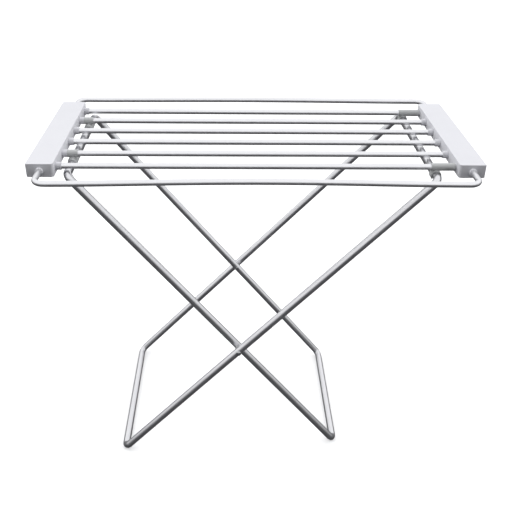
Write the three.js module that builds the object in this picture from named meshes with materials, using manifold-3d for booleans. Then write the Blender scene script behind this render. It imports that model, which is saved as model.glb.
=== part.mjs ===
// Clothes drying rack: a flat deck of eight bars between two plastic end housings, standing on a
// pair of bent-tube frames that cross like scissors. Millimetres, +Z up, +X towards the housing
// whose clips the legs turn in, -Y is the front. The floor is Z = 0.
import * as THREE from "three";
import { mergeVertices } from "three/addons/utils/BufferGeometryUtils.js";
import Module from "manifold-3d";

const wasm = await Module();
wasm.setup();

// Overall sizes
const LENGTH = 730; // over both end housings
const DECK_HEIGHT = 592; // axis of the bars above the floor
const GAP = 0.3; // between pieces that touch
const CUT_MARGIN = 1; // how far a cutting form reaches past the surface that it cuts

// Fineness of the round forms
const BAR_SIDES = 16;
const OUTER_BAR_SIDES = 14;
const HEATER_SIDES = 8;
const BUSH_SIDES = 14;
const SCREW_SIDES = 12;
const ROUND_SIDES = 16;
const CLIP_SIDES = 18;
const BEND_STEPS = 6;
const BOW_STEPS = 8;
const CORNER_STEPS = 3;
const CLIP_ARC_STEPS = 9;
const DOME_STEPS = 4;

// Bars
const BAR_RADIUS = 4.75;
const BAR_WALL = 1;
const BAR_PITCH = 53;
const INNER_BARS = 6;
const OUTER_BAR_Y = 202;
const OUTER_BAR_BEND = 17; // centreline radius where an outer bar turns into the housing
const OUTER_BAR_ARCH = { front: 4, rear: 1.5 }; // how far the middle of the bar is bowed upwards
const BAR_INSERTION = 14; // how far a bar reaches into its housing
const HEATER_RADIUS = 2.2;
const HEATER_STUB = 1.5; // how far a heater core sticks out of each end of its bar

// End housings
const HOUSING_WIDTH = 43;
const HOUSING_DEPTH = 306;
const HOUSING_HEIGHT = 22.5;
const HOUSING_ABOVE_BARS = 11.5;
const HOUSING_WALL = 2.2;
const INNER_CORNER = 5; // radius of the upright edges that face the bars
const OUTER_CORNER = 2.2;
const SHARPEST_CORNER = 0.5;
const BOTTOM_ROUND = 1.4;
const COVER_THICKNESS = 2;
const COVER_RECESS = 0.5;
const SCREW_PITCH = 106;
const SCREW_INSET = 15; // from the housing's outer face to the screw axis
const POST_RADIUS = 3.4;
const SCREW_RADIUS = 1.3;
const SCREW_LENGTH = 9;
const SCREW_HEAD_RADIUS = 2.7;
const SCREW_HEAD_HEIGHT = 1.1;
const SCREW_HEAD_EDGE = 0.4;
const SCREW_SLOT = 0.7; // width and depth of the cross recess

// Bushes round the bars where they enter the housings
const BUSH_RADIUS = 6.3;
const BUSH_NECK_RADIUS = 5.7;
const BUSH_LIP = 1.5;
const BUSH_LENGTH = 8.7; // outside the housing, round an inner bar
const SHORT_BUSH_LENGTH = 1.2; // where a snap clip's sleeve reaches up to the housing
const BUSH_CHAMFER = 0.5;
const COLLAR_LENGTH = 5; // outside the housing, round an outer bar
const COLLAR_CHAMFER = 1.3;

// Leg frames: closed loops of tube, the inner one nesting inside the outer one
const LEG_RADIUS = 6.75;
const LEG_SIDES = 16;
const LEG_BEND = 12;
const LEG_DROP = 13.5; // from the axis of the bars down to the axis of a leg frame's top tube
const FOOT_HEIGHT = LEG_RADIUS * Math.cos(Math.PI / LEG_SIDES); // the tube lies on one facet
const OUTER_FRAME = { topX: 290, footX: -250, legY: 157 };
const INNER_FRAME = { topX: -305, footX: 159.5, legY: 141 };

// Rivets where the frames cross
const RIVET_RADIUS = 2.5;
const RIVET_HEAD_RADIUS = 5;
const RIVET_HEAD_HEIGHT = 2.4;
const RIVET_RIM = 0.6;
const RIVET_TAIL_RADIUS = 4;
const RIVET_TAIL_HEIGHT = 1.2;
const SPACER_RADIUS = 5.6;

// Clips that hold the leg frames' top tubes under the bars
const CLIP_SLEEVE_RADIUS = 6.3;
const CLIP_WALL = 1.7;
const CLIP_WIDTH = 13;
const HOOK_CHEEK = 4.5; // how far an open hook's cheek reaches below the tube's axis
const HOOK_LIP = (50 * Math.PI) / 180; // where the hook's lip ends, above the tube's middle
const SNAP_MOUTH = (100 * Math.PI) / 180; // opening angle of a closed clip

// Wiring carriers and the cable gland
const CARRIER_THICKNESS = 5;
const CARRIER_LENGTH = 250;
const CARRIER_HEIGHT = 9;
const CARRIER_SLOT = 6;
const CARRIER_CLEARANCE = 3; // from the ends of the bars
const GLAND_RADIUS = 6;
const GLAND_NECK_RADIUS = 5;
const GLAND_BORE = 3.4;
const GLAND_DROP = 4;
const GLAND_EDGE = 1;
const GLAND_LIP = 1.5;
const GLAND_X = 352;
const GLAND_Y = 55;

const HOUSING_INNER_X = LENGTH / 2 - HOUSING_WIDTH;
const HOUSING_MIDDLE_X = LENGTH / 2 - HOUSING_WIDTH / 2;
const HOUSING_END_Y = HOUSING_DEPTH / 2;
const HOUSING_TOP = DECK_HEIGHT + HOUSING_ABOVE_BARS;
const HOUSING_BOTTOM = HOUSING_TOP - HOUSING_HEIGHT;
const LEG_TOP = DECK_HEIGHT - LEG_DROP;
const COVER_BOTTOM = HOUSING_BOTTOM + COVER_RECESS;
const COVER_TOP = COVER_BOTTOM + COVER_THICKNESS;
const BUSH_BORE = BAR_RADIUS + GAP;

const rack = new THREE.Group();
rack.name = "clothes_drying_rack";

function satinMetal() {
  return new THREE.MeshStandardMaterial({ color: 0xc9cacf, roughness: 0.35, metalness: 0.9 });
}

function housingPlastic() {
  return new THREE.MeshStandardMaterial({ color: 0xd5d6de, roughness: 0.55, metalness: 0 });
}

function clipPlastic() {
  return new THREE.MeshStandardMaterial({ color: 0xaeb2b6, roughness: 0.6, metalness: 0 });
}

function screwSteel() {
  return new THREE.MeshStandardMaterial({ color: 0x9c9ea3, roughness: 0.3, metalness: 1 });
}

function heaterSheath() {
  return new THREE.MeshStandardMaterial({ color: 0xb9552f, roughness: 0.7, metalness: 0 });
}

function carrierPlastic() {
  return new THREE.MeshStandardMaterial({ color: 0xe8e6df, roughness: 0.7, metalness: 0 });
}

function add(name, geometry, material) {
  geometry.computeVertexNormals();
  const mesh = new THREE.Mesh(geometry, material);
  mesh.name = name;
  rack.add(mesh);
}

// A geometry as a solid that can be added to, cut or intersected.
function solid(geometry) {
  const bare = geometry.clone();
  bare.deleteAttribute("normal");
  bare.deleteAttribute("uv");
  const merged = mergeVertices(bare, 1e-3);
  return new wasm.Manifold(
    new wasm.Mesh({
      numProp: 3,
      vertProperties: merged.attributes.position.array,
      triVerts: new Uint32Array(merged.index.array),
    }),
  );
}

function geometryOf(made) {
  const mesh = made.getMesh();
  const geometry = new THREE.BufferGeometry();
  const positions = new Float32Array(mesh.vertProperties);
  geometry.setAttribute("position", new THREE.BufferAttribute(positions, mesh.numProp));
  geometry.setIndex(new THREE.BufferAttribute(new Uint32Array(mesh.triVerts), 1));
  return geometry.toNonIndexed();
}

// A turned piece about the Y axis, from an outline of [radius, height] pairs that starts and ends
// on the axis.
function turnedSolid(outline, sides) {
  const points = outline.map(([radius, height]) => new THREE.Vector2(radius, height));
  return new THREE.LatheGeometry(points, sides);
}

// A turned ring or sleeve about the Y axis, from an outline that is closed clear of the axis.
function turnedRing(outline, sides) {
  return turnedSolid([...outline, outline[0]], sides);
}

function rod(radius, length, sides) {
  return new THREE.CylinderGeometry(radius, radius, length, sides);
}

function alongX(geometry) {
  return geometry.rotateZ(-Math.PI / 2);
}

function alongZ(geometry) {
  return geometry.rotateX(Math.PI / 2);
}

// A bent tube's centreline: stations with a tangent each, and one direction that the section keeps.
class BentPath extends THREE.Curve {
  constructor(stations, upright) {
    super();
    this.stations = stations;
    this.upright = upright;
  }

  getSpacedPoints() {
    return this.stations.map((station) => station.point);
  }

  computeFrenetFrames() {
    const tangents = this.stations.map((station) => station.tangent);
    const normals = tangents.map((tangent) => this.upright.clone().cross(tangent).normalize());
    const binormals = tangents.map((tangent, i) => tangent.clone().cross(normals[i]));
    return { tangents, normals, binormals };
  }
}

// Stations along a polyline whose inner corners are rounded, each straight cut into equal runs.
function bentStations(corners, radius, bendSteps, runs) {
  const stations = [];
  let from = corners[0];
  for (let i = 1; i < corners.length; i++) {
    const incoming = corners[i].clone().sub(corners[i - 1]).normalize();
    const last = i === corners.length - 1;
    const outgoing = last ? incoming : corners[i + 1].clone().sub(corners[i]).normalize();
    const turn = last ? 0 : incoming.angleTo(outgoing);
    const to = corners[i].clone().addScaledVector(incoming, -radius * Math.tan(turn / 2));
    for (let k = 0; k < runs[i - 1]; k++) {
      stations.push({ point: from.clone().lerp(to, k / runs[i - 1]), tangent: incoming.clone() });
    }
    if (last) {
      stations.push({ point: to, tangent: incoming.clone() });
      break;
    }
    const inward = outgoing.clone().addScaledVector(incoming, -incoming.dot(outgoing)).normalize();
    const centre = to.clone().addScaledVector(inward, radius);
    for (let k = 0; k < bendSteps; k++) {
      const angle = (turn * k) / bendSteps;
      const point = centre
        .clone()
        .addScaledVector(inward, -radius * Math.cos(angle))
        .addScaledVector(incoming, radius * Math.sin(angle));
      const tangent = incoming
        .clone()
        .multiplyScalar(Math.cos(angle))
        .addScaledVector(inward, Math.sin(angle));
      stations.push({ point, tangent });
    }
    from = corners[i].clone().addScaledVector(outgoing, radius * Math.tan(turn / 2));
  }
  return stations;
}

// A tube's section, a regular polygon with the middle of one side at the given angle.
function roundSection(radius, sides, facetAngle) {
  const shape = new THREE.Shape();
  for (let i = 0; i < sides; i++) {
    const angle = facetAngle + ((i + 0.5) * 2 * Math.PI) / sides;
    const x = radius * Math.cos(angle);
    const y = radius * Math.sin(angle);
    if (i === 0) shape.moveTo(x, y);
    else shape.lineTo(x, y);
  }
  shape.closePath();
  return shape;
}

function tubeAlong(stations, upright, section) {
  return new THREE.ExtrudeGeometry(section, {
    steps: stations.length - 1,
    extrudePath: new BentPath(stations, upright),
    bevelEnabled: false,
  });
}

// ---- bars ----

function innerBarY(index) {
  return (index - (INNER_BARS - 1) / 2) * BAR_PITCH;
}

function innerBar(y) {
  const half = HOUSING_INNER_X + BAR_INSERTION;
  const bore = BAR_RADIUS - BAR_WALL;
  const outline = [
    [bore, -half],
    [BAR_RADIUS, -half],
    [BAR_RADIUS, half],
    [bore, half],
  ];
  return alongX(turnedRing(outline, BAR_SIDES)).translate(0, y, DECK_HEIGHT);
}

function heaterCore(y) {
  const length = 2 * (HOUSING_INNER_X + BAR_INSERTION + HEATER_STUB);
  return alongX(rod(HEATER_RADIUS, length, HEATER_SIDES)).translate(0, y, DECK_HEIGHT);
}

// A shallow U of tube: both ends turn back into the housings, and its middle is bowed upwards.
function outerBar(side, arch) {
  const y = side * OUTER_BAR_Y;
  const endY = side * (HOUSING_END_Y - BAR_INSERTION);
  const corners = [
    new THREE.Vector3(-HOUSING_MIDDLE_X, endY, DECK_HEIGHT),
    new THREE.Vector3(-HOUSING_MIDDLE_X, y, DECK_HEIGHT),
    new THREE.Vector3(HOUSING_MIDDLE_X, y, DECK_HEIGHT),
    new THREE.Vector3(HOUSING_MIDDLE_X, endY, DECK_HEIGHT),
  ];
  const stations = bentStations(corners, OUTER_BAR_BEND, BEND_STEPS, [1, BOW_STEPS, 1]);
  const half = HOUSING_MIDDLE_X - OUTER_BAR_BEND;
  for (const { point, tangent } of stations) {
    const along = Math.min(1, Math.abs(point.x) / half) * Math.sign(point.x);
    point.z += arch * (1 - along ** 2) ** 2;
    tangent.z = (tangent.x * -4 * arch * along * (1 - along ** 2)) / half;
    tangent.normalize();
  }
  return tubeAlong(stations, new THREE.Vector3(0, 0, 1), roundSection(BAR_RADIUS, OUTER_BAR_SIDES, 0));
}

// ---- end housings ----

// The housing's outline seen from above, drawn for the +X end and pulled in by an inset.
function housingOutline(inset) {
  const x0 = HOUSING_INNER_X + inset;
  const x1 = LENGTH / 2 - inset;
  const y = HOUSING_END_Y - inset;
  const inner = INNER_CORNER - inset;
  const outer = Math.max(OUTER_CORNER - inset, SHARPEST_CORNER);
  const shape = new THREE.Shape();
  shape.moveTo(x0 + inner, -y);
  shape.lineTo(x1 - outer, -y);
  shape.absarc(x1 - outer, -y + outer, outer, -Math.PI / 2, 0, false);
  shape.lineTo(x1, y - outer);
  shape.absarc(x1 - outer, y - outer, outer, 0, Math.PI / 2, false);
  shape.lineTo(x0 + inner, y);
  shape.absarc(x0 + inner, y - inner, inner, Math.PI / 2, Math.PI, false);
  shape.lineTo(x0, -y + inner);
  shape.absarc(x0 + inner, -y + inner, inner, Math.PI, 1.5 * Math.PI, false);
  return shape;
}

function prism(shape, z0, z1) {
  const geometry = new THREE.ExtrudeGeometry(shape, {
    depth: z1 - z0,
    bevelEnabled: false,
    curveSegments: CORNER_STEPS,
  });
  return geometry.translate(0, 0, z0);
}

function block(x0, x1, y0, y1, z0, z1) {
  const geometry = new THREE.BoxGeometry(x1 - x0, y1 - y0, z1 - z0);
  return geometry.translate((x0 + x1) / 2, (y0 + y1) / 2, (z0 + z1) / 2);
}

// The outer form: square top edges, softly rounded bottom edges.
function housingForm() {
  const rounded = new THREE.ExtrudeGeometry(housingOutline(0), {
    depth: HOUSING_HEIGHT,
    bevelEnabled: true,
    bevelThickness: BOTTOM_ROUND,
    bevelSize: BOTTOM_ROUND,
    bevelOffset: -BOTTOM_ROUND,
    bevelSegments: 2,
    curveSegments: CORNER_STEPS,
  }).translate(0, 0, HOUSING_BOTTOM + BOTTOM_ROUND);
  const above = block(
    HOUSING_INNER_X - CUT_MARGIN,
    LENGTH / 2 + CUT_MARGIN,
    -HOUSING_END_Y - CUT_MARGIN,
    HOUSING_END_Y + CUT_MARGIN,
    HOUSING_TOP,
    HOUSING_TOP + HOUSING_HEIGHT,
  );
  return solid(rounded).subtract(solid(above));
}

function screwPlaces() {
  const x = LENGTH / 2 - SCREW_INSET;
  return [-1, 0, 1].map((step) => [x, step * SCREW_PITCH]);
}

function upright(radius, x, y, z0, z1, sides) {
  return alongZ(rod(radius, z1 - z0, sides)).translate(x, y, (z0 + z1) / 2);
}

// The moulded housing of the +X end: hollow, open below, with a hole for each bar and screw posts.
function housingShell() {
  const ceiling = HOUSING_TOP - HOUSING_WALL;
  const cavity = prism(housingOutline(HOUSING_WALL), HOUSING_BOTTOM - CUT_MARGIN, ceiling);
  let shell = housingForm().subtract(solid(cavity));
  for (const [x, y] of screwPlaces()) {
    const post = upright(POST_RADIUS, x, y, COVER_TOP + GAP, ceiling + CUT_MARGIN, SCREW_SIDES);
    const pilotTop = COVER_BOTTOM + SCREW_LENGTH + CUT_MARGIN;
    const pilot = upright(SCREW_RADIUS + GAP, x, y, COVER_TOP, pilotTop, SCREW_SIDES);
    shell = shell.add(solid(post)).subtract(solid(pilot));
  }
  for (let i = 0; i < INNER_BARS; i++) {
    const hole = alongX(rod(BUSH_NECK_RADIUS + GAP, 3 * HOUSING_WALL, BUSH_SIDES));
    hole.translate(HOUSING_INNER_X + HOUSING_WALL / 2, innerBarY(i), DECK_HEIGHT);
    shell = shell.subtract(solid(hole));
  }
  for (const side of [-1, 1]) {
    const hole = rod(BUSH_NECK_RADIUS + GAP, 3 * HOUSING_WALL, BUSH_SIDES);
    hole.translate(HOUSING_MIDDLE_X, side * (HOUSING_END_Y - HOUSING_WALL / 2), DECK_HEIGHT);
    shell = shell.subtract(solid(hole));
  }
  return geometryOf(shell);
}

// The cover that closes the housing from below, countersunk for its screws.
function housingCover(withGland) {
  let cover = solid(prism(housingOutline(HOUSING_WALL + GAP), COVER_BOTTOM, COVER_TOP));
  for (const [x, y] of screwPlaces()) {
    const below = COVER_BOTTOM - CUT_MARGIN;
    const sinkTop = COVER_BOTTOM + SCREW_HEAD_HEIGHT + GAP;
    const hole = upright(SCREW_RADIUS + GAP, x, y, below, COVER_TOP + CUT_MARGIN, SCREW_SIDES);
    const sink = upright(SCREW_HEAD_RADIUS + GAP, x, y, below, sinkTop, ROUND_SIDES);
    cover = cover.subtract(solid(hole)).subtract(solid(sink));
  }
  if (withGland) {
    const below = COVER_BOTTOM - CUT_MARGIN;
    const above = COVER_TOP + CUT_MARGIN;
    const hole = upright(GLAND_NECK_RADIUS + GAP, GLAND_X, GLAND_Y, below, above, ROUND_SIDES);
    cover = cover.subtract(solid(hole));
  }
  return geometryOf(cover);
}

// A pan-head screw with a cross recess, head down.
function coverScrew(x, y) {
  const outline = [
    [0, 0],
    [SCREW_HEAD_RADIUS - SCREW_HEAD_EDGE, 0],
    [SCREW_HEAD_RADIUS, SCREW_HEAD_EDGE],
    [SCREW_HEAD_RADIUS, SCREW_HEAD_HEIGHT],
    [SCREW_RADIUS, SCREW_HEAD_HEIGHT],
    [SCREW_RADIUS, SCREW_LENGTH - SCREW_RADIUS],
    [0, SCREW_LENGTH],
  ];
  const body = alongZ(turnedSolid(outline, SCREW_SIDES));
  const arm = SCREW_HEAD_RADIUS * 0.6;
  const half = SCREW_SLOT / 2;
  const slotX = block(-arm, arm, -half, half, -CUT_MARGIN, SCREW_SLOT);
  const slotY = block(-half, half, -arm, arm, -CUT_MARGIN, SCREW_SLOT);
  const screw = solid(body).subtract(solid(slotX)).subtract(solid(slotY));
  return geometryOf(screw).translate(x, y, COVER_BOTTOM);
}

// A bush that lines a bar's hole: lip inside the wall, neck in it, visible sleeve outside.
// It is drawn about +Y, with the wall's outer face at height 0 and the sleeve below it.
function bush(length, chamfer) {
  const outline = [
    [BUSH_BORE, -GAP - length],
    [BUSH_RADIUS - chamfer, -GAP - length],
    [BUSH_RADIUS, -GAP - length + chamfer],
    [BUSH_RADIUS, -GAP],
    [BUSH_NECK_RADIUS, -GAP],
    [BUSH_NECK_RADIUS, HOUSING_WALL + GAP],
    [BUSH_RADIUS, HOUSING_WALL + GAP],
    [BUSH_RADIUS, HOUSING_WALL + GAP + BUSH_LIP],
    [BUSH_BORE, HOUSING_WALL + GAP + BUSH_LIP],
  ];
  return turnedRing(outline, BUSH_SIDES);
}

// The first and last bars carry the snap clips at their right ends, so their bushes are short there.
function innerBushLength(end, index) {
  const carriesClip = end > 0 && (index === 0 || index === INNER_BARS - 1);
  return carriesClip ? SHORT_BUSH_LENGTH : BUSH_LENGTH;
}

function innerBush(end, index) {
  const y = innerBarY(index);
  const piece = alongX(bush(innerBushLength(end, index), BUSH_CHAMFER));
  if (end < 0) piece.rotateZ(Math.PI);
  return piece.translate(end * HOUSING_INNER_X, y, DECK_HEIGHT);
}

function outerCollar(end, side) {
  const piece = bush(COLLAR_LENGTH, COLLAR_CHAMFER);
  if (side > 0) piece.rotateZ(Math.PI);
  return piece.translate(end * HOUSING_MIDDLE_X, side * HOUSING_END_Y, DECK_HEIGHT);
}

// A comb of insulating plastic that stands on the cover and takes the leads of every bar.
function wiringCarrier() {
  const half = CARRIER_LENGTH / 2;
  const base = COVER_TOP + GAP;
  const shape = new THREE.Shape();
  shape.moveTo(-half, base);
  shape.lineTo(half, base);
  shape.lineTo(half, base + CARRIER_HEIGHT);
  for (let i = INNER_BARS - 1; i >= 0; i--) {
    const y = innerBarY(i);
    if (Math.abs(y) > half) continue;
    shape.lineTo(y + CARRIER_SLOT / 2, base + CARRIER_HEIGHT);
    shape.lineTo(y + CARRIER_SLOT / 2, base + CARRIER_HEIGHT / 2);
    shape.lineTo(y - CARRIER_SLOT / 2, base + CARRIER_HEIGHT / 2);
    shape.lineTo(y - CARRIER_SLOT / 2, base + CARRIER_HEIGHT);
  }
  shape.lineTo(-half, base + CARRIER_HEIGHT);
  shape.closePath();
  const comb = new THREE.ExtrudeGeometry(shape, { depth: CARRIER_THICKNESS, bevelEnabled: false });
  comb.rotateX(Math.PI / 2).rotateZ(Math.PI / 2);
  return comb.translate(HOUSING_INNER_X + BAR_INSERTION + CARRIER_CLEARANCE, 0, 0);
}

function cableGland() {
  const outline = [
    [GLAND_BORE, -GLAND_DROP],
    [GLAND_RADIUS - GLAND_EDGE, -GLAND_DROP],
    [GLAND_RADIUS, -GLAND_DROP + GLAND_EDGE],
    [GLAND_RADIUS, -GAP],
    [GLAND_NECK_RADIUS, -GAP],
    [GLAND_NECK_RADIUS, COVER_THICKNESS + GAP],
    [GLAND_RADIUS, COVER_THICKNESS + GAP],
    [GLAND_RADIUS, COVER_THICKNESS + GAP + GLAND_LIP],
    [GLAND_BORE, COVER_THICKNESS + GAP + GLAND_LIP],
  ];
  return alongZ(turnedRing(outline, ROUND_SIDES)).translate(GLAND_X, GLAND_Y, COVER_BOTTOM);
}

// ---- leg frames ----

function frameEnds({ topX, footX }) {
  return {
    top: new THREE.Vector3(topX, 0, LEG_TOP),
    foot: new THREE.Vector3(footX, 0, FOOT_HEIGHT),
  };
}

// Where the two frames cross, seen from the front.
function crossing() {
  const outer = frameEnds(OUTER_FRAME);
  const inner = frameEnds(INNER_FRAME);
  const outerRun = outer.foot.x - outer.top.x;
  const innerRun = inner.foot.x - inner.top.x;
  const share = (inner.top.x - outer.top.x) / (outerRun - innerRun);
  return outer.top.clone().lerp(outer.foot, share);
}

function rivetHole(side, legY) {
  const at = crossing();
  return rod(RIVET_RADIUS + GAP, 3 * LEG_RADIUS, BUSH_SIDES).translate(at.x, side * legY, at.z);
}

function legFrame(frame) {
  const { top, foot } = frameEnds(frame);
  const down = foot.clone().sub(top).normalize();
  const across = new THREE.Vector3(0, 1, 0);
  const face = across.clone().cross(down);
  const floorward = new THREE.Vector3(0, 0, -1);
  const footNormal = face.clone().cross(across);
  const facetAngle = Math.atan2(floorward.dot(face), floorward.dot(footNormal));
  const section = roundSection(LEG_RADIUS, LEG_SIDES, facetAngle);
  const width = across.clone().multiplyScalar(frame.legY);
  const frontHalf = [top, top.clone().sub(width), foot.clone().sub(width), foot];
  const rearHalf = [foot, foot.clone().add(width), top.clone().add(width), top];
  const halves = [frontHalf, rearHalf].map((corners) =>
    solid(tubeAlong(bentStations(corners, LEG_BEND, BEND_STEPS, [1, 1, 1]), face, section)),
  );
  let loop = halves[0].add(halves[1]);
  for (const side of [-1, 1]) {
    loop = loop.subtract(solid(rivetHole(side, frame.legY)));
  }
  return geometryOf(loop);
}

// A rivet through both frames: domed head outside, flat tail inside.
function rivet(side) {
  const outside = OUTER_FRAME.legY + LEG_RADIUS + GAP;
  const inside = INNER_FRAME.legY - LEG_RADIUS - GAP;
  const tail = inside - RIVET_TAIL_HEIGHT;
  const outline = [
    [0, tail],
    [RIVET_TAIL_RADIUS, tail],
    [RIVET_TAIL_RADIUS, inside],
    [RIVET_RADIUS, inside],
    [RIVET_RADIUS, outside],
    [RIVET_HEAD_RADIUS, outside],
  ];
  for (let k = 0; k < DOME_STEPS; k++) {
    const angle = (k * Math.PI) / 2 / DOME_STEPS;
    const rise = (RIVET_HEAD_HEIGHT - RIVET_RIM) * Math.sin(angle);
    outline.push([RIVET_HEAD_RADIUS * Math.cos(angle), outside + RIVET_RIM + rise]);
  }
  outline.push([0, outside + RIVET_HEAD_HEIGHT]);
  const piece = turnedSolid(outline, BUSH_SIDES);
  if (side < 0) piece.rotateZ(Math.PI);
  const at = crossing();
  return piece.translate(at.x, 0, at.z);
}

function pivotSpacer(side) {
  const inner = INNER_FRAME.legY + LEG_RADIUS + GAP;
  const outer = OUTER_FRAME.legY - LEG_RADIUS - GAP;
  const outline = [
    [RIVET_RADIUS + GAP, inner],
    [SPACER_RADIUS, inner],
    [SPACER_RADIUS, outer],
    [RIVET_RADIUS + GAP, outer],
  ];
  const piece = turnedRing(outline, ROUND_SIDES);
  if (side < 0) piece.rotateZ(Math.PI);
  const at = crossing();
  return piece.translate(at.x, 0, at.z);
}

// ---- clips ----

// The wall of a clip seen from the front, a band over the tube. A snap clip closes in past the
// middle of the tube on both sides. An open hook has a long cheek towards its housing and only a
// lip towards the middle of the rack, so that the tube can swing out of it.
function clipBand(snaps) {
  const bore = LEG_RADIUS + GAP;
  const rim = bore + CLIP_WALL;
  const shape = new THREE.Shape();
  if (snaps) {
    const start = -Math.PI / 2 + SNAP_MOUTH / 2;
    const end = (3 * Math.PI) / 2 - SNAP_MOUTH / 2;
    shape.absarc(0, 0, rim, start, end, false);
    shape.absarc(0, 0, bore, end, start, true);
  } else {
    shape.absarc(0, 0, rim, HOOK_LIP, Math.PI, false);
    shape.lineTo(-rim, -HOOK_CHEEK);
    shape.lineTo(-bore, -HOOK_CHEEK);
    shape.absarc(0, 0, bore, Math.PI, HOOK_LIP, true);
  }
  shape.closePath();
  return shape;
}

// A sleeve on the bar, pushed up against its bush, with the band for the tube below.
function clip(end, barIndex, tubeX, snaps) {
  const barY = innerBarY(barIndex);
  const rim = LEG_RADIUS + GAP + CLIP_WALL;
  const near = Math.abs(tubeX) - rim;
  const far = HOUSING_INNER_X - GAP - innerBushLength(end, barIndex) - GAP;
  const length = far - near;
  const middle = end * (near + length / 2);
  const sleeve = alongX(rod(CLIP_SLEEVE_RADIUS, length, CLIP_SIDES));
  sleeve.translate(middle, barY, DECK_HEIGHT);
  const band = new THREE.ExtrudeGeometry(clipBand(snaps), {
    depth: CLIP_WIDTH,
    bevelEnabled: false,
    curveSegments: CLIP_ARC_STEPS,
  });
  band.rotateX(Math.PI / 2).translate(tubeX, barY + CLIP_WIDTH / 2, LEG_TOP);
  const bore = alongX(rod(BAR_RADIUS + GAP, 2 * length, BAR_SIDES));
  bore.translate(middle, barY, DECK_HEIGHT);
  const channel = rod(LEG_RADIUS + GAP, 2 * CLIP_WIDTH, CLIP_SIDES).translate(tubeX, barY, LEG_TOP);
  const piece = solid(sleeve).add(solid(band)).subtract(solid(bore)).subtract(solid(channel));
  return geometryOf(piece);
}

// ---- assembly ----

function mirroredToLeft(geometry) {
  return geometry.rotateZ(Math.PI);
}

for (let i = 0; i < INNER_BARS; i++) {
  const y = innerBarY(i);
  add(`inner_bar_${i + 1}`, innerBar(y), satinMetal());
  add(`heater_core_${i + 1}`, heaterCore(y), heaterSheath());
  add(`bush_right_${i + 1}`, innerBush(1, i), housingPlastic());
  add(`bush_left_${i + 1}`, innerBush(-1, i), housingPlastic());
}
add("outer_bar_front", outerBar(-1, OUTER_BAR_ARCH.front), satinMetal());
add("outer_bar_rear", outerBar(1, OUTER_BAR_ARCH.rear), satinMetal());

for (const [end, name] of [
  [1, "right"],
  [-1, "left"],
]) {
  const placed = end > 0 ? (geometry) => geometry : mirroredToLeft;
  add(`housing_shell_${name}`, placed(housingShell()), housingPlastic());
  add(`housing_cover_${name}`, placed(housingCover(end > 0)), housingPlastic());
  add(`wiring_carrier_${name}`, placed(wiringCarrier()), carrierPlastic());
  add(`collar_front_${name}`, outerCollar(end, -1), housingPlastic());
  add(`collar_rear_${name}`, outerCollar(end, 1), housingPlastic());
  screwPlaces().forEach(([x, y], i) => {
    add(`cover_screw_${name}_${i + 1}`, placed(coverScrew(x, y)), screwSteel());
  });
}
add("cable_gland", cableGland(), clipPlastic());

add("leg_frame_outer", legFrame(OUTER_FRAME), satinMetal());
add("leg_frame_inner", legFrame(INNER_FRAME), satinMetal());
for (const [side, name] of [
  [-1, "front"],
  [1, "rear"],
]) {
  add(`rivet_${name}`, rivet(side), screwSteel());
  add(`pivot_spacer_${name}`, pivotSpacer(side), clipPlastic());
  const lastBar = side < 0 ? 0 : INNER_BARS - 1;
  add(`snap_clip_${name}`, clip(1, lastBar, OUTER_FRAME.topX, true), clipPlastic());
  add(`hook_clip_${name}`, clip(-1, lastBar - side, INNER_FRAME.topX, false), clipPlastic());
}

export default rack;
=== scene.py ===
"""Looks of the clothes drying rack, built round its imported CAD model. Metres, +Z up, front at -Y."""
import math

import bmesh
import bpy
from mathutils import Matrix, Vector


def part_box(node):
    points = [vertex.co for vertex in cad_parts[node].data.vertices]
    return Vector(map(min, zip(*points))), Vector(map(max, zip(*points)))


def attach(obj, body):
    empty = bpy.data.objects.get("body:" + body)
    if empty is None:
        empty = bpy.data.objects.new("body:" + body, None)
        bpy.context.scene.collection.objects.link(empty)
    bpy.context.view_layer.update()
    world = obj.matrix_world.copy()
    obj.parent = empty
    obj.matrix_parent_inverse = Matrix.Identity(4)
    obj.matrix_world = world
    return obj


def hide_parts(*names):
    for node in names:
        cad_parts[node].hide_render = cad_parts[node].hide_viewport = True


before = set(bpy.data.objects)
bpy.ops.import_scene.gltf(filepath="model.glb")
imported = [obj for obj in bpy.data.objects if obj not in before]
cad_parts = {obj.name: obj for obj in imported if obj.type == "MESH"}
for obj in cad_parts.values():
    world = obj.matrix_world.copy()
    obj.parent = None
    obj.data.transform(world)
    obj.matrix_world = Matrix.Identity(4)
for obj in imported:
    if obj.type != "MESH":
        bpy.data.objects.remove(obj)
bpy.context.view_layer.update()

MM = 0.001
X, Y, Z = Vector((1, 0, 0)), Vector((0, 1, 0)), Vector((0, 0, 1))
ENDS = {"right": 1, "left": -1}
SIDES = {"front": -1, "rear": 1}
INNER_BARS = 6

# Sizes of the pieces that their boxes don't give
BAR_WALL = 1.0 * MM
OUTER_BAR_BEND = 17 * MM
OUTER_BAR_ARCH = {"front": 4 * MM, "rear": 1.5 * MM}
LEG_RADIUS = 6.75 * MM
LEG_BEND = 12 * MM
GAP = 0.3 * MM
SHELL_WALL = 2.2 * MM
INNER_CORNER = 5 * MM
OUTER_CORNER = 2.2 * MM
BOTTOM_ROUND = 1.4 * MM
TOP_EDGE = 0.5 * MM
BUSH_RADIUS = 6.3 * MM
BUSH_NECK_RADIUS = 5.7 * MM
BUSH_CHAMFER = 0.5 * MM
COLLAR_CHAMFER = 1.3 * MM
SCREW_RADIUS = 1.3 * MM
SCREW_HEAD_HEIGHT = 1.1 * MM
SCREW_HEAD_EDGE = 0.4 * MM
SCREW_SLOT_WIDTH = 0.7 * MM
SCREW_SLOT_DEPTH = 0.7 * MM
POST_RADIUS = 3.4 * MM
RIVET_RADIUS = 2.5 * MM
RIVET_RIM = 0.6 * MM
RIVET_TAIL_HEIGHT = 1.2 * MM
RIVET_TAIL_INSET = 1.0 * MM
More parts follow.
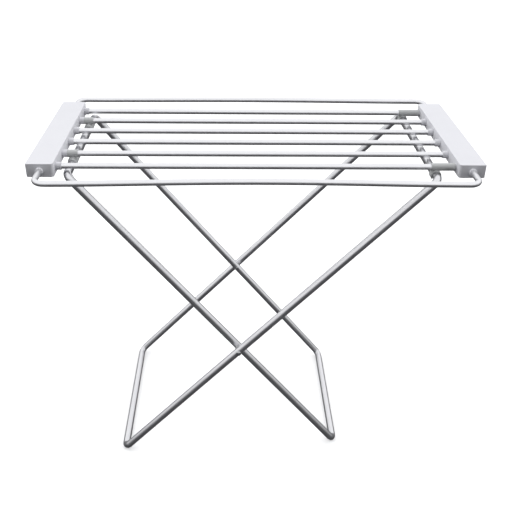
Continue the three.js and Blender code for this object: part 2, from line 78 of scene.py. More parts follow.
CLIP_SLEEVE_RADIUS = 6.3 * MM
CLIP_WALL = 1.7 * MM
CLIP_WIDTH = 13 * MM
HOOK_CHEEK = 4.5 * MM
HOOK_LIP = math.radians(50)
SNAP_MOUTH = math.radians(100)
GLAND_BORE = 3.4 * MM
GLAND_EDGE = 1.0 * MM

# Fineness of the surfaces
TUBE_SIDES = 48
TURNED_SIDES = 48
HEATER_SIDES = 24
SCREW_SIDES = 32
DOME_STEPS = 12
BEND_STEPS = 16
CORNER_STEPS = 8
CLIP_VOXEL = 0.45 * MM

# The camera: the height and distance of the eye, and the angles that it looks at
EYE = Vector((-0.043, -1.222, 1.055))
YAW = math.radians(2.25)
PITCH = math.radians(-30.00)
ROLL = math.radians(1.05)
LENS = 51.4
SENSOR = 36

# The light: how bright the sky is overhead, to the front and at both ends, how bright it is in the gloss of
# the metal, and the shades of the two floors; the dark lower floor is painted shade that the rack mirrors in
# its undersides
OVERHEAD_SKY = 1.2
FRONT_SKY = 0.06
END_BOOST = 1.8
MIRRORED_SKY = 1.15
SKY_TINT = (0.985, 0.99, 1.0)
FLOOR = (0.97, 0.97, 0.97)
FLOOR_GLOW = 0.2
# Painted shade: the dark sheet under the floor, hidden from the camera, that darkens the rack's undersides
UNDERFLOOR = (0.095, 0.095, 0.1)


# ---- materials ----


def material(name, **settings):
    """A new material, its nodes and its principled shader, with the settings on its own sockets."""
    made = bpy.data.materials.new(name)
    made.use_nodes = True
    shader = made.node_tree.nodes["Principled BSDF"]
    for socket, value in settings.items():
        shader.inputs[socket.replace("_", " ")].default_value = value
    return made, made.node_tree, shader


def add_node(tree, kind, inputs=None, **settings):
    made = tree.nodes.new(kind)
    for key, value in settings.items():
        setattr(made, key, value)
    for socket, value in (inputs or {}).items():
        if isinstance(value, bpy.types.NodeSocket):
            tree.links.new(value, made.inputs[socket])
        else:
            made.inputs[socket].default_value = value
    return made


def noise(tree, where, scale, detail=3.0, roughness=0.5):
    inputs = {"Vector": where, "Scale": scale, "Detail": detail, "Roughness": roughness}
    return add_node(tree, "ShaderNodeTexNoise", inputs).outputs["Fac"]


def remap(tree, value, low, high, to_low, to_high):
    inputs = {"Value": value, "From Min": low, "From Max": high, "To Min": to_low, "To Max": to_high}
    return add_node(tree, "ShaderNodeMapRange", inputs).outputs["Result"]


def total(tree, *values):
    result = values[0]
    for value in values[1:]:
        result = add_node(tree, "ShaderNodeMath", {0: result, 1: value}).outputs[0]
    return result


def mixed(tree, factor, first, second):
    made = add_node(tree, "ShaderNodeMix", data_type="RGBA")
    tree.links.new(factor, made.inputs["Factor"])
    for socket, colour in ((6, first), (7, second)):
        if isinstance(colour, bpy.types.NodeSocket):
            tree.links.new(colour, made.inputs[socket])
        else:
            made.inputs[socket].default_value = colour
    return made.outputs[2]


def bumped(tree, shader, height, strength, distance):
    inputs = {"Height": height, "Strength": strength, "Distance": distance}
    made = add_node(tree, "ShaderNodeBump", inputs)
    tree.links.new(made.outputs["Normal"], shader.inputs["Normal"])


def object_place(tree):
    return add_node(tree, "ShaderNodeTexCoord").outputs["Object"]


def edge_mask(tree, radius):
    """0 on flat and gently curved surfaces, rising to 1 on edges sharper than the radius."""
    bevel = add_node(tree, "ShaderNodeBevel", {"Radius": radius}, samples=6)
    plain = add_node(tree, "ShaderNodeNewGeometry").outputs["Normal"]
    dot = add_node(
        tree,
        "ShaderNodeVectorMath",
        {0: bevel.outputs["Normal"], 1: plain},
        operation="DOT_PRODUCT",
    )
    return remap(tree, dot.outputs["Value"], 0.995, 0.85, 0.0, 1.0)


def drawn_metal(name, light, dark, roughness):
    """Satin metal tube: fine lines along its length, faint smudges and a slightly cloudy colour."""
    made, tree, shader = material(name, Metallic=1.0, IOR=1.45)
    along = add_node(tree, "ShaderNodeUVMap", uv_map="tube").outputs["UV"]
    stretched = add_node(tree, "ShaderNodeMapping", {"Vector": along, "Scale": (1.0, 0.02, 1.0)})
    lines = noise(tree, stretched.outputs["Vector"], 4200.0, 4.0, 0.6)
    place = object_place(tree)
    smudges = noise(tree, place, 38.0, 5.0, 0.62)
    clouds = noise(tree, place, 7.0, 2.0)
    shade = total(tree, remap(tree, clouds, 0.3, 0.7, 0.0, 0.6), remap(tree, lines, 0.3, 0.7, 0.0, 0.4))
    tree.links.new(mixed(tree, shade, dark, light), shader.inputs["Base Color"])
    gloss = total(
        tree,
        remap(tree, lines, 0.3, 0.7, roughness - 0.04, roughness + 0.04),
        remap(tree, smudges, 0.45, 0.75, 0.0, 0.06),
    )
    tree.links.new(gloss, shader.inputs["Roughness"])
    bumped(tree, shader, lines, 0.25, 0.02 * MM)
    return made


def moulded_plastic(name, colour, shade, worn, roughness, grain):
    """Injection-moulded plastic: spark-eroded grain, a mottled colour and edges rubbed smooth."""
    made, tree, shader = material(name, IOR=1.49)
    place = object_place(tree)
    fine = noise(tree, place, grain, 2.0, 0.55)
    mottle = noise(tree, place, 26.0, 4.0, 0.6)
    flow = noise(tree, place, 5.0, 1.0)
    edges = edge_mask(tree, 0.7 * MM)
    base = mixed(tree, total(tree, remap(tree, mottle, 0.3, 0.7, 0.0, 0.5), flow), shade, colour)
    rubbed = remap(tree, mottle, 0.35, 0.65, 0.15, 0.6)
    worn_here = add_node(tree, "ShaderNodeMath", {0: edges, 1: rubbed}, operation="MULTIPLY").outputs[0]
    tree.links.new(mixed(tree, worn_here, base, worn), shader.inputs["Base Color"])
    gloss = total(
        tree,
        remap(tree, fine, 0.3, 0.7, roughness - 0.05, roughness + 0.05),
        remap(tree, worn_here, 0.0, 1.0, 0.0, -0.15),
    )
    tree.links.new(gloss, shader.inputs["Roughness"])
    bumped(tree, shader, fine, 0.35, 0.03 * MM)
    return made


def zinc_steel():
    """Zinc-plated steel: crystalline spangle, small scratches."""
    made, tree, shader = material("fastener_steel", Metallic=1.0)
    place = object_place(tree)
    cells = add_node(tree, "ShaderNodeTexVoronoi", {"Vector": place, "Scale": 900.0}).outputs["Color"]
    scratches = noise(tree, place, 1600.0, 6.0, 0.7)
    grey = add_node(tree, "ShaderNodeRGBToBW", {"Color": cells}).outputs["Val"]
    base = mixed(tree, grey, (0.47, 0.48, 0.5, 1), (0.66, 0.66, 0.67, 1))
    tree.links.new(base, shader.inputs["Base Color"])
    tree.links.new(remap(tree, grey, 0.0, 1.0, 0.24, 0.38), shader.inputs["Roughness"])
    bumped(tree, shader, scratches, 0.2, 0.02 * MM)
    return made


def silicone_sheath():
    """Brick-red silicone round the heating wire, with a dusty bloom."""
    made, tree, shader = material("heater_sheath", Specular_IOR_Level=0.35)
    place = object_place(tree)
    dust = noise(tree, place, 220.0, 4.0, 0.6)
    base = mixed(tree, remap(tree, dust, 0.4, 0.8, 0.0, 0.5), (0.42, 0.1, 0.045, 1), (0.55, 0.25, 0.17, 1))
    tree.links.new(base, shader.inputs["Base Color"])
    tree.links.new(remap(tree, dust, 0.3, 0.7, 0.55, 0.75), shader.inputs["Roughness"])
    bumped(tree, shader, dust, 0.3, 0.05 * MM)
    return made


def studio_surface(name, colour, glow=0.0):
    """Matt painted studio floor with the faintest unevenness."""
    made, tree, shader = material(name, Specular_IOR_Level=0.0, Roughness=1.0, Emission_Strength=glow)
    patches = noise(tree, object_place(tree), 0.8, 2.0)
    lighter = [min(1.0, channel * 1.004) for channel in colour]
    tree.links.new(mixed(tree, patches, (*colour, 1), (*lighter, 1)), shader.inputs["Base Color"])
    return made


bar_metal = drawn_metal("bar_metal", (0.8, 0.8, 0.82, 1), (0.77, 0.77, 0.79, 1), 0.38)
leg_metal = drawn_metal("leg_metal", (0.75, 0.75, 0.765, 1), (0.69, 0.69, 0.71, 1), 0.3)
housing_plastic = moulded_plastic(
    "housing_plastic", (0.73, 0.73, 0.765, 1), (0.69, 0.69, 0.725, 1), (0.8, 0.8, 0.825, 1), 0.5, 2600.0
)
clip_plastic = moulded_plastic(
    "clip_plastic", (0.56, 0.57, 0.57, 1), (0.5, 0.51, 0.51, 1), (0.66, 0.67, 0.67, 1), 0.55, 2200.0
)
carrier_plastic = moulded_plastic(
    "carrier_plastic", (0.8, 0.78, 0.72, 1), (0.75, 0.73, 0.66, 1), (0.88, 0.86, 0.8, 1), 0.6, 2000.0
)
fastener_steel = zinc_steel()
heater_sheath = silicone_sheath()


# ---- mesh tools ----


def new_object(name, mesh, finish):
    made = bpy.data.objects.new(name, mesh)
    bpy.context.scene.collection.objects.link(made)
    if finish is not None:
        mesh.materials.clear()
        mesh.materials.append(finish)
    return made


def skin(rings, closed, capped, sizes):
    """A mesh through rings of equal count. sizes gives each ring's (round, along) for the tube map."""
    mesh = bpy.data.meshes.new("skin")
    count = len(rings[0])
    points = [point for ring in rings for point in ring]
    faces = []
    corners = []
    for i in range(len(rings) if closed else len(rings) - 1):
        j = (i + 1) % len(rings)
        for k in range(count):
            m = (k + 1) % count
            faces.append((i * count + k, i * count + m, j * count + m, j * count + k))
            (girth_i, along_i), (girth_j, along_j) = sizes[i], sizes[i + 1]
            turn_k, turn_m = k / count, (k + 1) / count
            corners += [
                (turn_k * girth_i, along_i),
                (turn_m * girth_i, along_i),
                (turn_m * girth_j, along_j),
                (turn_k * girth_j, along_j),
            ]
    if capped:
        for ring, order in ((0, -1), (len(rings) - 1, 1)):
            faces.append(tuple(ring * count + k for k in range(count))[::order])
            corners += [(0.0, sizes[ring][1])] * count
    mesh.from_pydata(points, [], faces)
    layer = mesh.uv_layers.new(name="tube")
    for loop, corner in zip(layer.data, corners):
        loop.uv = corner
    return mesh


def cleaned(mesh, angle=35):
    """Doubled points merged, faces turned outwards, smooth shading with the true edges kept sharp."""
    work = bmesh.new()
    work.from_mesh(mesh)
    bmesh.ops.remove_doubles(work, verts=work.verts, dist=1e-7)
    bmesh.ops.recalc_face_normals(work, faces=work.faces)
    for face in work.faces:
        face.smooth = True
    work.to_mesh(mesh)
    work.free()
    mesh.set_sharp_from_angle(angle=math.radians(angle))
    return mesh


def applied(obj):
    """The object with its modifiers made part of its mesh."""
    depsgraph = bpy.context.evaluated_depsgraph_get()
    mesh = bpy.data.meshes.new_from_object(obj.evaluated_get(depsgraph), depsgraph=depsgraph)
    obj.modifiers.clear()
    obj.data = mesh
    return obj


def combined(obj, others, operation):
    """Joins the other objects to obj, or cuts them out of it, and removes them."""
    for other in others:
        change = obj.modifiers.new("combine", "BOOLEAN")
        change.operation = operation
        change.solver = "EXACT"
        change.object = other
    applied(obj)
    for other in others:
        bpy.data.objects.remove(other)
    return obj


def even_shading(obj):
    """Lets the large faces set the normals, so that small edge rounds catch the light cleanly."""
    change = obj.modifiers.new("normals", "WEIGHTED_NORMAL")
    change.keep_sharp = True
    return applied(obj)


def rounded(outline, radius, steps=4, closed=True):
    """An outline of (radius, height) points with its corners rounded."""
    points = [Vector(point) for point in outline]
    result = []
    last = len(points) - 1
    for i, corner in enumerate(points):
        if not closed and i in (0, last):
            result.append(corner)
            continue
        before = points[i - 1] - corner
        after = points[(i + 1) % len(points)] - corner
        cut = min(radius, before.length * 0.45, after.length * 0.45)
        start = corner + before.normalized() * cut
        end = corner + after.normalized() * cut
        for k in range(steps + 1):
            t = k / steps
            result.append(start * (1 - t) ** 2 + corner * 2 * t * (1 - t) + end * t**2)
    return result


def turned(name, outline, finish, place, closed=True, sides=TURNED_SIDES):
    """A turned piece: an outline of (radius, height) points spun about the place's Z axis."""
    rings = []
    sizes = []
    for radius, height in outline:
        rings.append(
            [
                (radius * math.cos(math.tau * k / sides), radius * math.sin(math.tau * k / sides), height)
                for k in range(sides)
            ]
        )
        sizes.append((math.tau * abs(radius), height))
    mesh = cleaned(skin(rings, closed, False, [*sizes, sizes[0]]))
    mesh.transform(place)
    return new_object(name, mesh, finish)


def plain_rod(radius, length, axis, centre):
    outline = [(0, -length / 2), (radius, -length / 2), (radius, length / 2), (0, length / 2)]
    return turned("tool", outline, None, facing(axis, centre), closed=False)


def facing(axis, centre):
    """A placing matrix whose Z axis points along the given axis."""
    return Matrix.Translation(centre) @ axis.to_track_quat("Z", "Y").to_matrix().to_4x4()


def sweep(name, stations, upright, radius, finish, closed=False):
    """A round tube through stations of (point, tangent), keeping one section direction throughout."""
    rings = []
    sizes = []
    along = 0.0
    for i, (point, tangent) in enumerate(stations):
        if i:
            along += (point - stations[i - 1][0]).length
        side = upright.cross(tangent).normalized()
        top = tangent.cross(side)
        angles = [math.tau * k / TUBE_SIDES for k in range(TUBE_SIDES)]
        rings.append([point + radius * (side * math.cos(a) + top * math.sin(a)) for a in angles])
        sizes.append((math.tau * radius, along))
    along += (stations[0][0] - stations[-1][0]).length
    mesh = cleaned(skin(rings, closed, not closed, [*sizes, (math.tau * radius, along)]))
    return new_object(name, mesh, finish)


def bent_stations(corners, radius, closed=False):
    """Stations along a polyline whose corners are bent to a radius."""
    stations = []
    count = len(corners)
    for i, corner in enumerate(corners):
        if not closed and i in (0, count - 1):
            other = corners[1] - corner if i == 0 else corner - corners[i - 1]
            stations.append((corner, other.normalized()))
            continue
        incoming = (corner - corners[i - 1]).normalized()
        outgoing = (corners[(i + 1) % count] - corner).normalized()
        turn = incoming.angle(outgoing)
        start = corner - incoming * radius * math.tan(turn / 2)
        inward = (outgoing - incoming * incoming.dot(outgoing)).normalized()
        centre = start + inward * radius
        for k in range(BEND_STEPS + 1):
            angle = turn * k / BEND_STEPS
            spoke = incoming * math.sin(angle) - inward * math.cos(angle)
            stations.append((centre + spoke * radius, incoming * math.cos(angle) + inward * math.sin(angle)))
    return stations


def filled_in(stations, longest):
    """The stations with more put between those that are further apart than the longest step."""
    result = []
    for (point, tangent), (after, _) in zip(stations, stations[1:]):
        steps = max(1, math.ceil((after - point).length / longest))
        result += [(point.lerp(after, k / steps), tangent) for k in range(steps)]
    return [*result, stations[-1]]


def place_piece(obj, body, slot, *nodes):
    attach(obj, body)
    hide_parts(*nodes)


def centre_of(node):
    low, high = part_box(node)
    return (low + high) / 2


# ---- bars ----

first_low, first_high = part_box("inner_bar_1")
BAR_RADIUS = (first_high.z - first_low.z) / 2
BAR_HEIGHT = (first_high.z + first_low.z) / 2
shell_low, shell_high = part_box("housing_shell_right")


def inner_bar(number):
    """A straight thin-walled tube, its ends hidden in the housings."""
    node = f"inner_bar_{number}"
    low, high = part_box(node)
    bore = BAR_RADIUS - BAR_WALL
    outline = [(bore, low.x), (BAR_RADIUS, low.x), (BAR_RADIUS, high.x), (bore, high.x)]
    place = facing(X, Vector((0, centre_of(node).y, BAR_HEIGHT)))
    bar = turned(f"bar_tube_{number}", rounded(outline, 0.3 * MM), bar_metal, place)
    place_piece(bar, "deck", "bar_metal", node)


def heater_core(number):
    """The sheathed heating wire inside a bar."""
    node = f"heater_core_{number}"
    low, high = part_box(node)
    radius = (high.z - low.z) / 2
    outline = [(0, low.x), (radius, low.x), (radius, high.x), (0, high.x)]
    place = facing(X, Vector((0, centre_of(node).y, BAR_HEIGHT)))
    profile = rounded(outline, 0.6 * MM, closed=False)
    core = turned(f"heater_wire_{number}", profile, heater_sheath, place, closed=False, sides=HEATER_SIDES)
    place_piece(core, "deck", "heater_sheath", node)


def outer_bar(side):
    """A shallow U of tube whose ends turn back into the housings, its middle bowed up a little."""
    node = f"outer_bar_{side}"
    low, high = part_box(node)
    sign = SIDES[side]
    y = low.y + BAR_RADIUS if sign < 0 else high.y - BAR_RADIUS
    end_y = high.y if sign < 0 else low.y
    x = high.x - BAR_RADIUS
    corners = [Vector(c) for c in ((-x, end_y, 0), (-x, y, 0), (x, y, 0), (x, end_y, 0))]
    half = x - OUTER_BAR_BEND
    arch = OUTER_BAR_ARCH[side]
    bowed = []
    for point, tangent in filled_in(bent_stations(corners, OUTER_BAR_BEND), 12 * MM):
        share = max(-1.0, min(1.0, point.x / half))
        lift = Vector((0, 0, BAR_HEIGHT + arch * (1 - share**2) ** 2))
        slope = -4 * arch * share * (1 - share**2) / half
        bowed.append((point + lift, (tangent + Z * tangent.x * slope).normalized()))
    bar = sweep(f"outer_tube_{side}", bowed, Z, BAR_RADIUS, bar_metal)
    place_piece(bar, "deck", "bar_metal", node)


# ---- end housings ----


def housing_ring(inset, height):
    """The housing's outline from above, drawn for the +X end and pulled in by an inset."""
    x0, x1 = shell_low.x + inset, shell_high.x - inset
    y1 = shell_high.y - inset
    inner = max(INNER_CORNER - inset, 0.5 * MM)
    outer = max(OUTER_CORNER - inset, 0.5 * MM)
    corners = (
        (x1 - outer, -y1 + outer, outer, 270),
        (x1 - outer, y1 - outer, outer, 0),
        (x0 + inner, y1 - inner, inner, 90),
        (x0 + inner, -y1 + inner, inner, 180),
    )
    ring = []
    for x, y, radius, start in corners:
        for k in range(CORNER_STEPS + 1):
            angle = math.radians(start + 90 * k / CORNER_STEPS)
            ring.append(Vector((x + radius * math.cos(angle), y + radius * math.sin(angle), height)))
    return ring


def quarter(inset, height, radius, start, steps=4):
    """(inset, height) points round a quarter circle, for an edge of the housing's wall."""
    angles = [math.radians(start + 90 * k / steps) for k in range(steps + 1)]
    return [(inset + radius * math.cos(a), height + radius * math.sin(a)) for a in angles]


def housing_tools(end):
    """What is cut out of the shell: the holes of the bars' bushes and the screws' pilot holes."""
    tools = []
    radius = BUSH_NECK_RADIUS + GAP
    reach = 3 * SHELL_WALL
    for number in range(1, INNER_BARS + 1):
        centre = Vector((shell_low.x + SHELL_WALL / 2, centre_of(f"inner_bar_{number}").y, BAR_HEIGHT))
        tools.append(plain_rod(radius, reach, X, centre))
    for sign in SIDES.values():
        middle = (shell_low.x + shell_high.x) / 2
        centre = Vector((middle, sign * (shell_high.y - SHELL_WALL / 2), BAR_HEIGHT))
        tools.append(plain_rod(radius, reach, Y, centre))
    for centre, top in screw_places(end):
        tools.append(plain_rod(SCREW_RADIUS + GAP, 2 * (top + MM - centre.z), Z, centre))
    return tools


def screw_places(end):
    """For each cover screw, drawn at the +X end: the middle of its pilot hole and the screw's tip."""
    places = []
    for number in (1, 2, 3):
        low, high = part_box(f"cover_screw_{end}_{number}")
        centre = (low + high) / 2 * ENDS[end]
        cover_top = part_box(f"housing_cover_{end}")[1].z
        places.append((Vector((centre.x, centre.y, cover_top)), high.z))
    return places


def housing_shell(end):
    """The moulded cap over the wiring: crisp top edges, soft bottom edges, open below."""
    top, bottom = shell_high.z, shell_low.z
    ceiling = top - SHELL_WALL
    lip = 0.3 * MM
    wall = [
        *quarter(TOP_EDGE, top - TOP_EDGE, TOP_EDGE, 90),
        *quarter(BOTTOM_ROUND, bottom + BOTTOM_ROUND, BOTTOM_ROUND, 180),
        *quarter(SHELL_WALL - lip, bottom + lip, lip, 270),
        *quarter(SHELL_WALL + MM, ceiling - MM, -MM, 0),
    ]
    rings = [housing_ring(inset, height) for inset, height in wall]
    sizes = [(1.0, height) for _, height in wall]
    mesh = cleaned(skin(rings, False, True, [*sizes, sizes[0]]))
    shell = new_object(f"housing_cap_{end}", mesh, housing_plastic)
    posts = []
    for centre, _ in screw_places(end):
        foot = centre.z + GAP
        post = Vector((centre.x, centre.y, (foot + ceiling + MM) / 2))
        posts.append(plain_rod(POST_RADIUS, ceiling + MM - foot, Z, post))
    combined(shell, posts, "UNION")
    combined(shell, housing_tools(end), "DIFFERENCE")
    cleaned(shell.data)
    if ENDS[end] < 0:
        shell.data.transform(Matrix.Rotation(math.pi, 4, "Z"))
    even_shading(shell)
    place_piece(shell, "deck", "housing_plastic", f"housing_shell_{end}")


def softened(name, node, finish, slot, edge):
    """A flat moulding or plate: the CAD piece's own form with every edge slightly rounded."""
    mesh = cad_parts[node].data.copy()
    work = bmesh.new()
    work.from_mesh(mesh)
    bmesh.ops.remove_doubles(work, verts=work.verts, dist=1e-6)
    bmesh.ops.dissolve_limit(work, angle_limit=math.radians(1), verts=work.verts, edges=work.edges)
    work.to_mesh(mesh)
    work.free()
    made = new_object(name, mesh, finish)
    change = made.modifiers.new("edges", "BEVEL")
    change.width = edge
    change.segments = 3
    change.limit_method = "ANGLE"
    change.angle_limit = math.radians(40)
    applied(made)
    cleaned(made.data)
    even_shading(made)
    place_piece(made, "deck", slot, node)


def bush(name, node, inward, wall, chamfer):
    """The bush round a bar: sleeve outside the wall, neck in the wall, lip inside it. The wall's
    outer face is given by its place along the inward direction."""
    tip, lip = sorted(corner.dot(inward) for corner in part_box(node))
    bore = BAR_RADIUS + GAP
    outside = wall - GAP
    inside = wall + SHELL_WALL + GAP
    outline = [
        (bore, tip),
        (BUSH_RADIUS - chamfer, tip),
        (BUSH_RADIUS, tip + chamfer),
        (BUSH_RADIUS, outside),
        (BUSH_NECK_RADIUS, outside),
        (BUSH_NECK_RADIUS, inside),
        (BUSH_RADIUS, inside),
        (BUSH_RADIUS, lip),
        (bore, lip),
    ]
    centre = centre_of(node)
    centre -= inward * centre.dot(inward)
    made = turned(name, rounded(outline, 0.25 * MM), housing_plastic, facing(inward, centre))
    even_shading(made)
    place_piece(made, "deck", "housing_plastic", node)


def screw_slot(length, place, turn):
    """One arm of the cross cut into a screw's head."""
    mesh = bpy.data.meshes.new("slot")
    work = bmesh.new()
    bmesh.ops.create_cube(work, size=1)
    work.to_mesh(mesh)
    work.free()
    mesh.transform(Matrix.Diagonal((length, SCREW_SLOT_WIDTH, 2 * SCREW_SLOT_DEPTH, 1)))
    mesh.transform(place @ Matrix.Rotation(math.radians(turn), 4, "Z"))
    return new_object("slot", mesh, None)


def cover_screw(end, number):
    """A pan-head screw with a cross recess, head down."""
    node = f"cover_screw_{end}_{number}"
    low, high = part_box(node)
    centre = centre_of(node)
    head = (high.x - low.x) / 2
    length = high.z - low.z
    outline = [
        (0, 0),
        (head - SCREW_HEAD_EDGE, 0),
        (head, SCREW_HEAD_EDGE),
        (head, SCREW_HEAD_HEIGHT),
        (SCREW_RADIUS, SCREW_HEAD_HEIGHT),
        (SCREW_RADIUS, length - MM),
        (0.4 * MM, length),
        (0, length),
    ]
    place = Matrix.Translation((centre.x, centre.y, low.z))
    profile = rounded(outline, 0.3 * MM, closed=False)
    screw = turned(f"screw_{end}_{number}", profile, fastener_steel, place, closed=False, sides=SCREW_SIDES)
    slots = [screw_slot(head * 1.2, place, turn) for turn in (0, 90)]
    combined(screw, slots, "DIFFERENCE")
    cleaned(screw.data)
    place_piece(screw, "deck", "fastener_steel", node)


def cable_gland():
    """The bush in the right cover where the supply lead enters."""
    low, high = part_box("cable_gland")
    cover_low, cover_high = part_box("housing_cover_right")
    centre = centre_of("cable_gland")
    radius = (high.x - low.x) / 2
    neck = radius - GLAND_EDGE
    outline = [
        (GLAND_BORE, low.z),
        (neck, low.z),
        (radius, low.z + GLAND_EDGE),
        (radius, cover_low.z - GAP),
        (neck, cover_low.z - GAP),
        (neck, cover_high.z + GAP),
        (radius, cover_high.z + GAP),
        (radius, high.z),
        (GLAND_BORE, high.z),
    ]
    place = Matrix.Translation((centre.x, centre.y, 0))
    made = turned("gland", rounded(outline, 0.35 * MM), clip_plastic, place)
    even_shading(made)
    place_piece(made, "deck", "clip_plastic", "cable_gland")


# ---- leg frames ----


def leg_loop(name, node, top_sign, body):
    """A closed loop of bent tube with a rivet hole through each of its long sides."""
    low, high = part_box(node)
    top_x, foot_x = (high.x - LEG_RADIUS, low.x + LEG_RADIUS)[::top_sign]
    top = Vector((top_x, 0, high.z - LEG_RADIUS))
    foot = Vector((foot_x, 0, low.z + LEG_RADIUS))
    width = Y * (high.y - LEG_RADIUS)
    corners = [top - width, foot - width, foot + width, top + width]
    stations = bent_stations(corners, LEG_BEND, closed=True)
    stations = filled_in([*stations, stations[0]], 30 * MM)[:-1]
    face = Y.cross((foot - top).normalized())
    loop = sweep(name, stations, face, LEG_RADIUS, leg_metal, closed=True)
    pivot = centre_of("rivet_front")
    holes = []
    for sign in SIDES.values():
        centre = Vector((pivot.x, sign * width.y, pivot.z))
        holes.append(plain_rod(RIVET_RADIUS + GAP, 3 * LEG_RADIUS, Y, centre))
    combined(loop, holes, "DIFFERENCE")
    cleaned(loop.data)
    place_piece(loop, body, "leg_metal", node)


def rivet(side):
    """A rivet through both frames, its head domed outside and set flat inside."""
    node = f"rivet_{side}"
    low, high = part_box(node)
    centre = centre_of(node)
    head = (high.x - low.x) / 2
    far, near = (high.y, low.y) if SIDES[side] > 0 else (-low.y, -high.y)
    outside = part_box("leg_frame_outer")[1].y + GAP
    inside = near + RIVET_TAIL_HEIGHT
    tail = head - RIVET_TAIL_INSET
    rim = outside + RIVET_RIM
    corners = [
        (0, near),
        (tail, near),
        (tail, inside),
        (RIVET_RADIUS, inside),
        (RIVET_RADIUS, outside),
        (head, outside),
        (head, rim),
    ]
    outline = rounded(corners, 0.3 * MM, closed=False)
    for k in range(1, DOME_STEPS + 1):
        angle = math.radians(90 * k / DOME_STEPS)
        outline.append((max(0.0, head * math.cos(angle)), rim + (far - rim) * math.sin(angle)))
    place = facing(Y * SIDES[side], Vector((centre.x, 0, centre.z)))
    made = turned(f"rivet_pin_{side}", outline, fastener_steel, place, closed=False)
    place_piece(made, "outer_frame", "fastener_steel", node)


def pivot_spacer(side):
    node = f"pivot_spacer_{side}"
    low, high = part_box(node)
    centre = centre_of(node)
    radius = (high.x - low.x) / 2
    bore = RIVET_RADIUS + GAP
    outline = [(bore, low.y), (radius, low.y), (radius, high.y), (bore, high.y)]
    place = facing(Y, Vector((centre.x, 0, centre.z)))
    made = turned(f"spacer_{side}", rounded(outline, 0.5 * MM), clip_plastic, place)
    even_shading(made)
    place_piece(made, "outer_frame", "clip_plastic", node)


# ---- clips ----


def arc(radius, start, end, steps=24):
    angles = [start + (end - start) * k / steps for k in range(steps + 1)]
    return [(radius * math.cos(a), radius * math.sin(a)) for a in angles]


def clip_outline(snaps):
    """A clip's band seen from the front. A snap clip closes in under the tube on both sides; an
    open hook has a long cheek towards its housing and a short lip towards the middle of the rack."""
    bore = LEG_RADIUS + GAP
    rim = bore + CLIP_WALL
    if snaps:
        start = -math.pi / 2 + SNAP_MOUTH / 2
        end = 1.5 * math.pi - SNAP_MOUTH / 2
        return arc(rim, start, end) + arc(bore, end, start)
    cheek = [(-rim, -HOOK_CHEEK), (-bore, -HOOK_CHEEK)]
    return arc(rim, HOOK_LIP, math.pi) + cheek + arc(bore, math.pi, HOOK_LIP)


def extruded(outline, depth, centre):
    """An outline in X and Z given a depth along Y, centred on a point."""
    rings = [[Vector((x, y, z)) + centre for x, z in outline] for y in (-depth / 2, depth / 2)]
    return new_object("tool", cleaned(skin(rings, False, True, [(1.0, 0.0)] * 3)), None)


def clip(name, node, frame_node, snaps):
    """A sleeve on the bar with a band for the tube below, blended into one soft-edged moulding."""
    low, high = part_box(node)
    frame_low, frame_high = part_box(frame_node)
    end = 1 if snaps else -1
    tube_x = frame_high.x - LEG_RADIUS if snaps else frame_low.x + LEG_RADIUS
    tube = Vector((tube_x, centre_of(node).y, frame_high.z - LEG_RADIUS))
    sleeve_end = high.x if snaps else -low.x
    sleeve_start = abs(tube_x) - LEG_RADIUS - GAP - CLIP_WALL
    length = sleeve_end - sleeve_start
    middle = Vector((end * (sleeve_start + length / 2), tube.y, BAR_HEIGHT))
    made = plain_rod(CLIP_SLEEVE_RADIUS, length, X, middle)
    combined(made, [extruded(clip_outline(snaps), CLIP_WIDTH, tube)], "UNION")
    bores = [
        plain_rod(BAR_RADIUS + GAP, length + 20 * MM, X, middle),
        plain_rod(LEG_RADIUS + GAP, CLIP_WIDTH + 10 * MM, Y, tube),
    ]
    combined(made, bores, "DIFFERENCE")
    made.name = name
    remesh = made.modifiers.new("remesh", "REMESH")
    remesh.mode = "VOXEL"
    remesh.voxel_size = CLIP_VOXEL
    smooth = made.modifiers.new("smooth", "SMOOTH")
    smooth.factor = 0.5
    smooth.iterations = 4
    applied(made)
    cleaned(made.data, 60)
    made.data.materials.append(clip_plastic)
    place_piece(made, "deck", "clip_plastic", node)


# ---- assembly ----


def build_rack():
    for number in range(1, INNER_BARS + 1):
        inner_bar(number)
        heater_core(number)
        bush(f"bar_bush_right_{number}", f"bush_right_{number}", X, shell_low.x, BUSH_CHAMFER)
        bush(f"bar_bush_left_{number}", f"bush_left_{number}", -X, shell_low.x, BUSH_CHAMFER)
    for end in ENDS:
        housing_shell(end)
        softened(f"bottom_plate_{end}", f"housing_cover_{end}", housing_plastic, "housing_plastic", 0.25 * MM)
        softened(f"lead_comb_{end}", f"wiring_carrier_{end}", carrier_plastic, "carrier_plastic", 0.3 * MM)
        for number in (1, 2, 3):
            cover_screw(end, number)
    for side, sign in SIDES.items():
        outer_bar(side)
        for end in ENDS:
            collar = f"collar_{side}_{end}"
            bush(f"bar_{collar}", collar, -Y * sign, -shell_high.y, COLLAR_CHAMFER)
        rivet(side)
        pivot_spacer(side)
        clip(f"snap_{side}", f"snap_clip_{side}", "leg_frame_outer", True)
        clip(f"hook_{side}", f"hook_clip_{side}", "leg_frame_inner", False)
    cable_gland()
    leg_loop("outer_leg_loop", "leg_frame_outer", 1, "outer_frame")
    leg_loop("inner_leg_loop", "leg_frame_inner", -1, "inner_frame")


# ---- studio ----


def flat_plane(name, size, height, finish):
    mesh = bpy.data.meshes.new(name)
    half = size / 2
    corners = [(-half, -half, height), (half, -half, height), (half, half, height), (-half, half, height)]
    mesh.from_pydata(corners, [], [(0, 1, 2, 3)])
    made = new_object(name, mesh, finish)
    return made


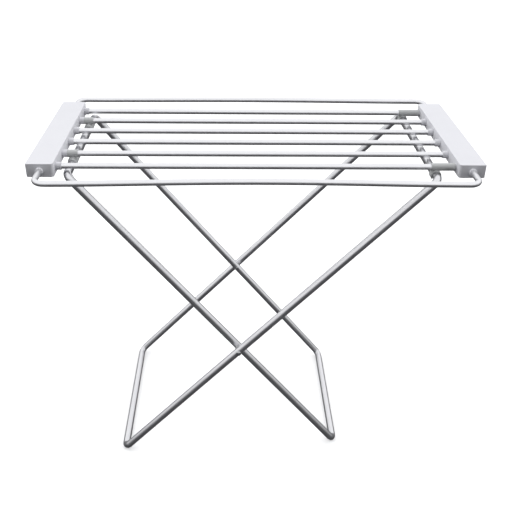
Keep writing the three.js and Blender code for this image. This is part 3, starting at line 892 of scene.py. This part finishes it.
def studio_floor():
    """A pale floor that the camera sees, over a darker one hidden from the camera that the glossy bars
    mirror: a dark sheet that paints shade into the rack's undersides, by reflection and by giving them little
    bounce light.
    """
    floor = flat_plane("studio_floor", 60.0, 0.0, studio_surface("floor_paint", FLOOR, FLOOR_GLOW))
    floor.visible_glossy = False
    floor.visible_diffuse = False
    # Painted shade: a dark sheet, hidden from the camera, that the rack's undersides mirror and take their
    # dim bounce light from
    under = flat_plane("studio_underfloor", 60.0, -MM, studio_surface("underfloor_paint", UNDERFLOOR))
    under.visible_camera = False
    under.visible_shadow = False


def studio_sky():
    """Soft light from above, from both ends and from behind, dim towards the front, with a wide
    bright card that only shows mirrored in the gloss of the metal. The camera sees plain white."""
    world = bpy.data.worlds.new("studio")
    bpy.context.scene.world = world
    world.use_nodes = True
    tree = world.node_tree
    direction = add_node(tree, "ShaderNodeTexCoord").outputs["Generated"]
    split = add_node(tree, "ShaderNodeSeparateXYZ", {0: direction})
    frontal = remap(tree, split.outputs["Y"], -0.85, -0.2, FRONT_SKY, OVERHEAD_SKY)
    sideways = add_node(tree, "ShaderNodeMath", {0: split.outputs["X"]}, operation="ABSOLUTE")
    ends = remap(tree, sideways.outputs[0], 0.4, 1.0, 1.0, END_BOOST)
    light = add_node(tree, "ShaderNodeMath", {0: frontal, 1: ends}, operation="MULTIPLY").outputs[0]
    mirrored = remap(tree, split.outputs["Z"], -0.05, 0.22, FRONT_SKY, MIRRORED_SKY)
    path = add_node(tree, "ShaderNodeLightPath")
    bright = remap(tree, path.outputs["Is Glossy Ray"], 0.0, 1.0, light, mirrored)
    bright = remap(tree, path.outputs["Is Camera Ray"], 0.0, 1.0, bright, OVERHEAD_SKY)
    tree.links.new(bright, tree.nodes["Background"].inputs["Strength"])
    tree.nodes["Background"].inputs["Color"].default_value = (*SKY_TINT, 1)


def camera():
    data = bpy.data.cameras.new("camera")
    data.lens = LENS
    data.sensor_width = SENSOR
    made = bpy.data.objects.new("camera", data)
    bpy.context.scene.collection.objects.link(made)
    forward = Vector(
        (math.sin(YAW) * math.cos(PITCH), math.cos(YAW) * math.cos(PITCH), math.sin(PITCH))
    )
    right = Vector((math.cos(YAW), -math.sin(YAW), 0))
    up = right.cross(forward)
    rolled_right = right * math.cos(ROLL) + up * math.sin(ROLL)
    rolled_up = up * math.cos(ROLL) - right * math.sin(ROLL)
    turn = Matrix((rolled_right, rolled_up, -forward)).transposed()
    made.matrix_world = Matrix.Translation(EYE) @ turn.to_4x4()
    bpy.context.scene.camera = made


build_rack()
studio_floor()
studio_sky()
camera()
bpy.context.scene.view_settings.view_transform = "Standard"
bpy.context.view_layer.update()
